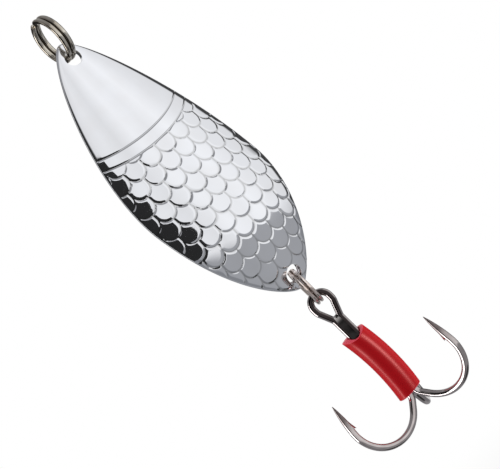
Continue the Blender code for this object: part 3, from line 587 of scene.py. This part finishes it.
fullness = np.sin(np.clip(to_point / POINT_TAPER, 0.0, 1.0) * math.pi / 2) ** POINT_FULLNESS
bend_radius = POINT_TIP_RADIUS + (HOOK_WIRE / 2 - POINT_TIP_RADIUS) * fullness
ground_share = np.clip((POINT_TAPER - to_point) / GROUND_FADE, 0.0, 1.0)
past_barb = BARB_FROM_POINT - to_point
barb_left = np.where(past_barb < 0, 0.0, np.clip(1 - past_barb / BARB_LENGTH, 0.0, 1.0))
barb_rise = barb_left**BARB_FALL * BARB_HEIGHT


def hook_path(direction, leg):
    """Middle of one hook's wire below its shank: the flat bend laid into the upright plane of direction."""
    level = np.array(leg) + bend_out[:, None] * np.array(direction)
    return np.column_stack([level, shank_end + bend_up])


def with_barb(rows, spokes, along, direction, height, back):
    """Rows with the barb lifted: points that face the shank rise by height and lean back along the wire,
    as how squarely they face it to the power BARB_NARROWNESS."""
    inwards = -np.array((*direction, 0.0))
    facing = np.clip(spokes @ inwards, 0.0, 1.0)[..., None] ** BARB_NARROWNESS
    lift = inwards * height[:, None] + back[:, None] * along
    return rows + facing * lift[:, None]


def both_ways(half, flip=1.0):
    """Rows of half a wire, from the eye outwards, after the same rows the other way, flipped over."""
    return np.concatenate([half[:0:-1] * flip, half])


def hook_metal():
    """Black nickel over hook wire. Up the shank and over the eye, the colour is multiplied down to a
    painted dark reflection, over a ramp of the height, and less so where the wire is seen at a glancing
    angle. The ground points are darker, by the share of the mark."""
    material = surface_finish(
        "black_nickel_wire", HOOK_NICKEL_PALE, HOOK_NICKEL_DARK, smooth=0.06, rough=0.11,
        smudge_scale=500.0, grain_scale=3000.0, grain_height=3e-7,
    )
    tree = material.node_tree
    colour = tree.nodes["Principled BSDF"].inputs["Base Color"]
    place, parts = tree.nodes.new("ShaderNodeTexCoord"), tree.nodes.new("ShaderNodeSeparateXYZ")
    tree.links.new(place.outputs["Object"], parts.inputs["Vector"])
    dark_up_shank = spread(tree, parts.outputs["Z"], PAINTED_DARK_FROM, PAINTED_DARK_TO, eased=True)
    facing, share = tree.nodes.new("ShaderNodeLayerWeight"), tree.nodes.new("ShaderNodeMath")
    square_on = spread(tree, facing.outputs["Facing"], GLANCE_FROM, GLANCE_TO, 1.0, GLANCE_TINT, eased=True)
    share.operation = "MULTIPLY"
    tree.links.new(dark_up_shank, share.inputs[0])
    tree.links.new(square_on, share.inputs[1])
    plated = colour.links[0].from_socket
    tree.links.new(mixed(tree, share.outputs[0], plated, HOOK_PAINTED_DARK, "MULTIPLY"), colour)
    tint_by_share(material, GROUND_TINT, "MULTIPLY")
    return material


hook_nickel = hook_metal()
shank_steps = np.linspace(0.0, 1.0, SHANK_ROWS)[1:-1]
above_bend = len(eye_out) + len(shank_steps)
right_half = np.concatenate([
    np.column_stack([eye_out, 0 * eye_out, eye_up]),
    np.column_stack([0 * shank_steps + LEG, 0 * shank_steps, shank_top - SHANK_LENGTH * shank_steps]),
    hook_path(RIGHT, (LEG, 0.0)),
])
half_turn = LEG_TURN * np.concatenate([0 * eye_out, shank_steps, 0 * bend_out + 1.0])
half_side = np.column_stack([-np.sin(half_turn), -np.cos(half_turn), 0 * half_turn])
half_radius = np.pad(bend_radius, (above_bend, 0), constant_values=HOOK_WIRE / 2)
right_barb = np.pad(barb_rise, (len(right_half) - 1 + above_bend, 0))
left_barb = right_barb[::-1]
rows, spokes, along = wire_rows(
    both_ways(right_half, MIRROR), both_ways(half_side, MIRROR), both_ways(half_radius), HOOK_AROUND
)
rows = with_barb(rows, spokes, along, RIGHT, right_barb, -BARB_LEAN * right_barb)
rows = with_barb(rows, spokes, along, LEFT, left_barb, BARB_LEAN * left_barb)
double_ground = np.repeat(both_ways(np.pad(ground_share, (above_bend, 0))), HOOK_AROUND)
double_skin = skin(hook_place + turned(rows, HOOK_TURN))
double_hook = add_piece("double_hook_wire", *double_skin, hook_nickel, np.append(double_ground, (1.0, 1.0)))
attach(double_hook, "treble")
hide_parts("double_hook")

back_drop = np.concatenate([CUT_EDGE * (1 - np.cos(QUARTER_CIRCLE)), SHANK_LENGTH * shank_steps])
back_path = np.concatenate([
    np.column_stack([0 * back_drop, 0 * back_drop + BACK_LEG, shank_top - back_drop]),
    hook_path(BACK, (0.0, BACK_LEG)),
])
back_radius = np.concatenate([
    HOOK_WIRE / 2 - CUT_EDGE * (1 - np.sin(QUARTER_CIRCLE)),
    np.full(len(shank_steps), HOOK_WIRE / 2),
    bend_radius,
])
back_side = np.broadcast_to((1.0, 0.0, 0.0), back_path.shape)
back_barb = np.pad(barb_rise, (len(back_drop), 0))
rows, spokes, along = wire_rows(back_path, back_side, back_radius, HOOK_AROUND)
rows = with_barb(rows, spokes, along, BACK, back_barb, -BARB_LEAN * back_barb)
single_ground = np.repeat(np.pad(ground_share, (len(back_drop), 0)), HOOK_AROUND)
single_skin = skin(hook_place + turned(rows, HOOK_TURN))
single_hook = add_piece("single_hook_wire", *single_skin, hook_nickel, np.append(single_ground, (0.0, 1.0)))
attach(single_hook, "treble")
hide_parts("single_hook")

# Braze in the grooves
# Brazing metal that was drawn along the three grooves between the shanks in a furnace and holds the
# double hook and the single hook together. It set with a flat outside and thin, sloping ends, and
# was plated with the hooks. Its near-black colour is a painted dark reflection, and it is bright where
# it thins out below the eye.
BRAZE_DARK, BRAZE_PALE, BRAZE_TIP = (0.012, 0.011, 0.011), (0.03, 0.027, 0.027), (0.75, 0.71, 0.70)
BRAZE_GAP, BRAZE_HOLLOW = 0.012, 0.05
BRAZE_CLIMB, BRAZE_RUN_OUT, BRAZE_BRIGHT = 1.1, 0.6, 1.5
BRAZE_INNER, BRAZE_OUTER, BRAZE_LEAST = math.radians(28), math.radians(82), 0.05
BRAZE_FULLNESS, BRAZE_ROWS, BRAZE_FLANK = 0.7, 70, 9


def braze_rows(first, second, climb):
    """Braze between two wires, as loops of its section down the groove. Its two flanks follow the wires:
    half the spacing less the wire's radius times the cosine of an angle, at a height of its sine. The
    outside is nearly flat, and the loops sink towards both ends."""
    a, b = np.array(first), np.array(second)
    across = (b - a) / np.linalg.norm(b - a)
    out = (a + b) / 2 - np.array((0.0, BACK_LEG / 3))
    out /= np.linalg.norm(out)
    drop = np.linspace(-climb, SHANK_LENGTH, BRAZE_ROWS)
    half_gap = np.where(drop > 0, LEG, np.interp(-drop, eye_up[::-1] - shank_top, eye_out[::-1]))
    radius = HOOK_WIRE / 2 + BRAZE_GAP
    top = np.clip((drop + climb) / (BRAZE_CLIMB + BRAZE_RUN_OUT), 0.0, 1.0)
    foot = np.clip((SHANK_LENGTH - drop) / BRAZE_RUN_OUT, 0.0, 1.0)
    fill = np.sin(np.minimum(top, foot) * math.pi / 2) ** BRAZE_FULLNESS
    reach = BRAZE_INNER + BRAZE_LEAST + (BRAZE_OUTER - BRAZE_INNER - BRAZE_LEAST) * fill[:, None]
    angle = BRAZE_INNER + (reach - BRAZE_INNER) * np.linspace(0.0, 1.0, BRAZE_FLANK)
    side = half_gap[:, None] - radius * np.cos(angle)
    height = radius * np.sin(angle)
    crown = np.linspace(1.0, -1.0, BRAZE_FLANK)[1:-1]
    crown_side = side[:, -1:] * crown
    crown_height = height[:, -1:] - BRAZE_HOLLOW * (1 - crown**2)
    side = np.concatenate([side, crown_side, -side[:, ::-1]], axis=1)
    height = np.concatenate([height, crown_height, height[:, ::-1]], axis=1)
    level = (a + b) / 2 + side[..., None] * across + height[..., None] * out
    upright = np.broadcast_to((shank_top - drop)[:, None], side.shape)
    return np.concatenate([level, upright[..., None]], axis=-1)


braze_painted_dark = surface_finish(
    "dark_braze", BRAZE_PALE, BRAZE_DARK, smooth=0.14, rough=0.3,
    smudge_scale=700.0, grain_scale=4000.0, grain_height=2e-6,
)
tint_by_share(braze_painted_dark, BRAZE_TIP)
LEGS = {"left": (-LEG, 0.0), "right": (LEG, 0.0), "back": (0.0, BACK_LEG)}
for groove, first, second, climb in (
    ("front", "left", "right", BRAZE_CLIMB), ("left", "left", "back", 0.0), ("right", "right", "back", 0.0)
):
    rows = hook_place + turned(braze_rows(LEGS[first], LEGS[second], climb), HOOK_TURN)
    from_top = np.linspace(0.0, 1.0, BRAZE_ROWS) * (SHANK_LENGTH + climb)
    thin = np.clip(1 - from_top / BRAZE_BRIGHT, 0.0, 1.0) * (climb > 0)
    thin = np.append(np.repeat(thin, rows.shape[1]), (thin[0], 0.0))
    braze = add_piece("braze_fillet_" + groove, *skin(rows), braze_painted_dark, thin)
    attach(braze, "treble")
    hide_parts("braze_" + groove)

# Soft sleeve
# A length of soft red tubing, cut off square and pushed over the shank, that hides the shank and
# draws the eye of the fish. It grips the wires, can be slid along them, and is a little bowed.
SLEEVE_BORE, SLEEVE_OUTSIDE, SLEEVE_EDGE = 1.507, 2.557, 0.2
SLEEVE_BOW, SLEEVE_OFF_CENTRE, SLEEVE_BOW_TOWARDS = 0.65, -0.3, np.array((0.906, -0.423, 0.0))
SLEEVE_SCOOP, SLEEVE_SCOOP_REACH, SLEEVE_SCOOP_TOWARDS = 1.1, 3.5, math.radians(-115)
SLEEVE_WAVE, SLEEVE_WAVE_FROM = 0.05, 0.6
SLEEVE_ALONG, SLEEVE_AROUND = 62, 97
SLEEVE_RED, SLEEVE_DEEP_RED = (0.62, 0.009, 0.016), (0.52, 0.007, 0.012)
SLEEVE_END_PAINTED_LIGHT, SLEEVE_GLOSS, SLEEVE_SHINE = (0.8, 0.09, 0.13), (1.0, 0.42, 0.40), 0.1


def sleeve_rows(half):
    """The tube as loops of its wall's section, one for each angle round the axis: up the bore, round the
    cut end on quarter circles, down the outside, and round the other end. The outside is a little off
    centre and is moved aside by the bow times 1 - (height / half length) squared. The upper end is cut
    hollow in front, lower by the square of the cosine of the angle from there, and both ends wave a
    little. The share of a cut end is returned too."""
    edge_in = SLEEVE_EDGE * (1 - np.cos(QUARTER_CIRCLE))
    edge_up = SLEEVE_EDGE * np.sin(QUARTER_CIRCLE)
    end_radius = np.concatenate([SLEEVE_BORE + edge_in, (SLEEVE_OUTSIDE - edge_in)[::-1]])
    end_height = half - SLEEVE_EDGE + np.concatenate([edge_up, edge_up[::-1]])
    side = np.linspace(half - SLEEVE_EDGE, SLEEVE_EDGE - half, SLEEVE_ALONG)[1:-1]
    outer, inner = np.full(len(side), SLEEVE_OUTSIDE), np.full(len(side), SLEEVE_BORE)
    radius = np.concatenate([end_radius, outer, end_radius[::-1], inner])
    height = np.concatenate([end_height, side, -end_height[::-1], side[::-1]])
    outside = np.clip((radius - SLEEVE_BORE) / (SLEEVE_OUTSIDE - SLEEVE_BORE), 0.0, 1.0)
    bow = outside * (SLEEVE_OFF_CENTRE + SLEEVE_BOW * (1 - (height / half) ** 2))
    angle = np.linspace(0.0, 2 * math.pi, SLEEVE_AROUND)[:, None]
    near_top = np.clip((height - half) / SLEEVE_SCOOP_REACH + 1, 0.0, 1.0) ** 2
    hollow = SLEEVE_SCOOP * np.clip(np.cos(angle - SLEEVE_SCOOP_TOWARDS), 0.0, 1.0) ** 2 * near_top
    uneven = SLEEVE_WAVE * np.sin(2 * angle + SLEEVE_WAVE_FROM) * (height / half) - hollow
    level = radius[None, :, None] * np.stack([np.cos(angle), np.sin(angle), 0 * angle], axis=-1)
    rise = (height + uneven)[..., None] * np.array((0.0, 0.0, 1.0))
    cut = np.broadcast_to(np.abs(height) > half - SLEEVE_EDGE, level.shape[:2]).astype(float)
    return level + rise + bow[None, :, None] * SLEEVE_BOW_TOWARDS, cut


# Satin red tubing deepens in cloudy streaks drawn out along the tube, with fine grain, and its cut
# ends are painted paler, a painted highlight for the light they catch.
soft_tubing = surface_finish(
    "soft_red_tubing", SLEEVE_RED, SLEEVE_DEEP_RED, smooth=0.32, rough=0.36,
    smudge_scale=500.0, grain_scale=1500.0, grain_height=1e-6, metallic=0.0, upright=0.05,
)
tint_by_share(soft_tubing, SLEEVE_END_PAINTED_LIGHT)
tubing_shader = soft_tubing.node_tree.nodes["Principled BSDF"]
tubing_shader.inputs["Specular IOR Level"].default_value = SLEEVE_SHINE
tubing_shader.inputs["Specular Tint"].default_value = (*SLEEVE_GLOSS, 1.0)
sleeve_low, sleeve_high = (np.array(corner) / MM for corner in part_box("hook_sleeve"))
sleeve_middle = (sleeve_low + sleeve_high) / 2
sleeve_loops, sleeve_end_painted_light = sleeve_rows((sleeve_high - sleeve_low)[2] / 2)
sleeve_skin = skin(sleeve_middle + sleeve_loops, ends=False)
sleeve = add_piece("shank_sleeve", *sleeve_skin, soft_tubing, sleeve_end_painted_light)
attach(sleeve, "sleeve")
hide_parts("hook_sleeve")

# Studio
# A product table: a pale floor some way below the hanging lure and white paper all round. Darker
# bands in the paper and a black card at the left give the chrome its edges. Two soft boxes put the
# stripes on the sleeve, and a third the glints on the wires. Lengths are in metres here.
CAMERA_SIDE = math.radians(25)
CAMERA_DISTANCE = 0.245
CAMERA_LENS, CAMERA_SENSOR, CAMERA_CLIP = 98.0, 36.0, (0.005, 50.0)
CAMERA_TARGET = np.array((-0.000196, 0.000091, -0.0543))
CAMERA_ROLL = (0.7143, 0.6999)
FLAG_RADIUS, FLAG_TURN, FLAG_HEIGHT = 0.06, (-80.0, -6.0), (-0.062, -0.004)
FLAG_SLANT, FLAG_SLANT_FROM, FLAG_ROWS, FLAG_COLUMNS = 16.0, -0.028, 45, 25
FLAG_BLACK = (0.02, 0.02, 0.02)
SOFT_BOX_DISTANCE = 0.5
FLOOR_HEIGHT, FLOOR_REACH, FLOOR_FADE = -0.2, 3.0, (0.12, 0.42)
FLOOR_CIRCLES, FLOOR_SPOKES = 40, 65
FLOOR_PALE, FLOOR_ROUGHNESS = (0.80, 0.80, 0.79), 0.9
WHITE = (1.0, 1.0, 1.0, 1.0)
# Each ramp is angles in degrees with greys, round from the camera or up from level. A ramp over the
# height is the mask of the colour after it, which is laid over what comes before.
MIRRORED_ROUND = (
    (-180, 0.8), (-164, 0.75), (-156, 0.06), (-112, 0.06), (-106, 0.9), (-86, 0.95), (-80, 0.03),
    (-34, 0.03), (-29, 0.78), (0, 0.86), (14, 0.8), (32, 0.95), (50, 0.9), (66, 0.97), (90, 0.84),
    (114, 0.78), (119, 0.05), (156, 0.06), (164, 0.75), (180, 0.8),
)
MIRRORED_LOW = ((-90, 0.85), (-18.5, 0.85), (-15, 0.0), (90, 0.0)), (0.265, 0.27, 0.285)
MIRRORED_HIGH = ((-90, 0.0), (34, 0.0), (42, 1.0), (90, 1.0)), (0.3, 0.3, 0.31)
MIRRORED_UNDER = ((-90, 1.0), (-72, 1.0), (-66, 0.0), (90, 0.0)), (0.04, 0.042, 0.04)
LIGHT_ROUND = (
    (-180, 0.08), (-140, 0.42), (-100, 0.72), (-70, 0.42), (-40, 0.1), (40, 0.1), (70, 0.52), (100, 1.0),
    (140, 0.55), (180, 0.08),
)
LIGHT_OVERHEAD = ((-90, 0.0), (25, 0.0), (45, 1.0), (90, 1.0)), (0.45, 0.45, 0.45)
LIGHT_STRENGTH = 2.25

to_camera = np.array((-math.sin(CAMERA_SIDE), -math.cos(CAMERA_SIDE), 0.0))
sideways = np.array((math.cos(CAMERA_SIDE), -math.sin(CAMERA_SIDE), 0.0))
upright = np.array((0.0, 0.0, 1.0))
lens = bpy.data.cameras.new("photo_camera")
lens.lens = CAMERA_LENS
lens.sensor_width = CAMERA_SENSOR
lens.clip_start, lens.clip_end = CAMERA_CLIP
camera = bpy.data.objects.new("photo_camera", lens)
bpy.context.scene.collection.objects.link(camera)
image_right = -CAMERA_ROLL[0] * upright + CAMERA_ROLL[1] * sideways
image_up = CAMERA_ROLL[1] * upright + CAMERA_ROLL[0] * sideways
frame_axes = np.eye(4)
frame_axes[:3, 0], frame_axes[:3, 1], frame_axes[:3, 2] = image_right, image_up, to_camera
frame_axes[:3, 3] = CAMERA_TARGET + CAMERA_DISTANCE * to_camera
camera.matrix_world = Matrix(frame_axes.tolist())
bpy.context.scene.camera = camera


def shader_by(tree, share, first, second):
    """The first shader where the share is 0 and the second where it is 1."""
    node = tree.nodes.new("ShaderNodeMixShader")
    tree.links.new(share, node.inputs["Fac"])
    tree.links.new(first, node.inputs[1])
    tree.links.new(second, node.inputs[2])
    return node.outputs[0]


def studio_world():
    """White to the camera. What metal mirrors and what lights the rest both depend on the direction of
    the ray: a ramp over its angle round the upright axis, measured from the camera, and over that a
    colour for each mask over its height angle. The light is weakest in front and behind."""
    world = bpy.data.worlds.new("studio")
    world.use_nodes = True
    tree = world.node_tree
    out = tree.nodes["World Output"]
    tree.nodes.remove(tree.nodes["Background"])
    direction = tree.nodes.new("ShaderNodeTexCoord")
    turn, lift = tree.nodes.new("ShaderNodeMath"), tree.nodes.new("ShaderNodeMath")
    turn.operation, lift.operation = "ARCTAN2", "ARCSINE"
    for axis, socket in ((sideways, turn.inputs[0]), (to_camera, turn.inputs[1]), (upright, lift.inputs[0])):
        part = tree.nodes.new("ShaderNodeVectorMath")
        part.operation = "DOT_PRODUCT"
        part.inputs[1].default_value = tuple(axis)
        tree.links.new(direction.outputs["Generated"], part.inputs[0])
        tree.links.new(part.outputs["Value"], socket)

    def ramp_over(angle, most, stops):
        ramp = tree.nodes.new("ShaderNodeValToRGB")
        keys = ramp.color_ramp.elements
        for position, _ in stops[2:]:
            keys.new((position + most) / (2 * most))
        for key, (position, grey) in zip(keys, stops):
            key.position = (position + most) / (2 * most)
            key.color = (grey, grey, grey, 1.0)
        tree.links.new(spread(tree, angle, -math.radians(most), math.radians(most)), ramp.inputs["Fac"])
        return ramp.outputs["Color"]

    def light_from(stops, *layers):
        colour = ramp_over(turn.outputs[0], 180.0, stops)
        for heights, grey in layers:
            colour = mixed(tree, ramp_over(lift.outputs[0], 90.0, heights), colour, grey)
        light = tree.nodes.new("ShaderNodeBackground")
        tree.links.new(colour, light.inputs["Color"])
        return light

    mirrored = light_from(MIRRORED_ROUND, MIRRORED_LOW, MIRRORED_HIGH, MIRRORED_UNDER)
    soft = light_from(LIGHT_ROUND, LIGHT_OVERHEAD)
    soft.inputs["Strength"].default_value = LIGHT_STRENGTH
    paper, path = tree.nodes.new("ShaderNodeBackground"), tree.nodes.new("ShaderNodeLightPath")
    paper.inputs["Color"].default_value = WHITE
    lit = shader_by(tree, path.outputs["Is Glossy Ray"], soft.outputs[0], mirrored.outputs[0])
    seen = shader_by(tree, path.outputs["Is Camera Ray"], lit, paper.outputs[0])
    tree.links.new(seen, out.inputs["Surface"])
    return world


bpy.context.scene.world = studio_world()
bpy.context.scene.world.cycles.sampling_method = "NONE"


def soft_box(name, pieces, turn, height, size, power):
    """An area lamp at a height, facing the lure's axis, turned from the camera by an angle in degrees. Its
    gloss is kept on the given pieces and out of the chrome, which would mirror it as a hard patch."""
    lamp = bpy.data.lights.new(name, "AREA")
    lamp.shape = "RECTANGLE"
    lamp.size, lamp.size_y = size
    lamp.energy = power
    box = bpy.data.objects.new(name, lamp)
    away = math.cos(math.radians(turn)) * to_camera + math.sin(math.radians(turn)) * sideways
    box.location = SOFT_BOX_DISTANCE * away + height * upright
    box.rotation_euler = (math.pi / 2, 0.0, math.atan2(away[1], away[0]) + math.pi / 2)
    box.visible_diffuse = False
    bpy.context.scene.collection.objects.link(box)
    box.light_linking.receiver_collection = bpy.data.collections.new(name)
    for piece in pieces:
        box.light_linking.receiver_collection.objects.link(piece)


wires = [double_hook, single_hook, front_ring]
soft_box("strip_box_left", [sleeve], turn=-75.0, height=-0.148, size=(0.07, 0.27), power=7.0)
soft_box("strip_box_right", [sleeve], turn=47.0, height=-0.148, size=(0.16, 0.27), power=11.0)
soft_box("glint_box", wires, turn=-80.0, height=-0.054, size=(0.26, 0.4), power=1.5)


def floor_rows():
    """A level disc: circles about the upright axis through the lure, at the square of even steps out to
    FLOOR_REACH."""
    radius = np.linspace(0.0, 1.0, FLOOR_CIRCLES)[:, None] ** 2 * FLOOR_REACH
    angle = np.linspace(0.0, 2 * math.pi, FLOOR_SPOKES)[None]
    level = 0 * radius * angle + FLOOR_HEIGHT
    return np.stack([radius * np.cos(angle), radius * np.sin(angle), level], axis=-1)


def floor_paper():
    """Pale matt paper that takes the lure's shadow near the middle and fades to plain white further out."""
    material, tree, shader = new_material("floor_paper")
    shader.inputs["Base Color"].default_value = (*FLOOR_PALE, 1.0)
    shader.inputs["Roughness"].default_value = FLOOR_ROUGHNESS
    place, path = tree.nodes.new("ShaderNodeTexCoord"), tree.nodes.new("ShaderNodeLightPath")
    level, far = tree.nodes.new("ShaderNodeVectorMath"), tree.nodes.new("ShaderNodeVectorMath")
    level.operation, far.operation = "MULTIPLY", "LENGTH"
    level.inputs[1].default_value = (1.0, 1.0, 0.0)
    tree.links.new(place.outputs["Object"], level.inputs[0])
    tree.links.new(level.outputs["Vector"], far.inputs[0])
    white = tree.nodes.new("ShaderNodeEmission")
    white.inputs["Color"].default_value = WHITE
    fade = spread(tree, far.outputs["Value"], *FLOOR_FADE, eased=True)
    faded = shader_by(tree, fade, shader.outputs[0], white.outputs[0])
    seen = shader_by(tree, path.outputs["Is Camera Ray"], shader.outputs[0], faded)
    tree.links.new(seen, tree.nodes["Material Output"].inputs["Surface"])
    return material


def flag_rows():
    """A black card bent round the lure to the left of the camera: part of an upright cylinder, whose edge
    beside the camera leans away near the top."""
    height = np.linspace(FLAG_HEIGHT[0], FLAG_HEIGHT[1], FLAG_ROWS)[:, None, None]
    slant = FLAG_SLANT * np.clip((height - FLAG_SLANT_FROM) / (FLAG_HEIGHT[1] - FLAG_SLANT_FROM), 0.0, 1.0)
    across = np.linspace(0.0, 1.0, FLAG_COLUMNS)[None, :, None]
    turn = np.radians(FLAG_TURN[0] + (FLAG_TURN[1] - slant - FLAG_TURN[0]) * across)
    return FLAG_RADIUS * (np.cos(turn) * to_camera + np.sin(turn) * sideways) + height * upright


def black_card():
    """Black velvet that gives back almost nothing."""
    material, _, shader = new_material("black_velvet")
    shader.inputs["Base Color"].default_value = (*FLAG_BLACK, 1.0)
    shader.inputs["Roughness"].default_value = 1.0
    shader.inputs["Specular IOR Level"].default_value = 0.0
    return material


flag = add_piece("dark_flag", *skin(flag_rows() / MM, ends=False), black_card())
flag.visible_camera = flag.visible_diffuse = flag.visible_shadow = flag.visible_transmission = False

floor = add_piece("floor", *skin(floor_rows() / MM, ends=False), floor_paper())
floor.visible_glossy = floor.visible_diffuse = False

bpy.context.scene.view_settings.view_transform = "Standard"
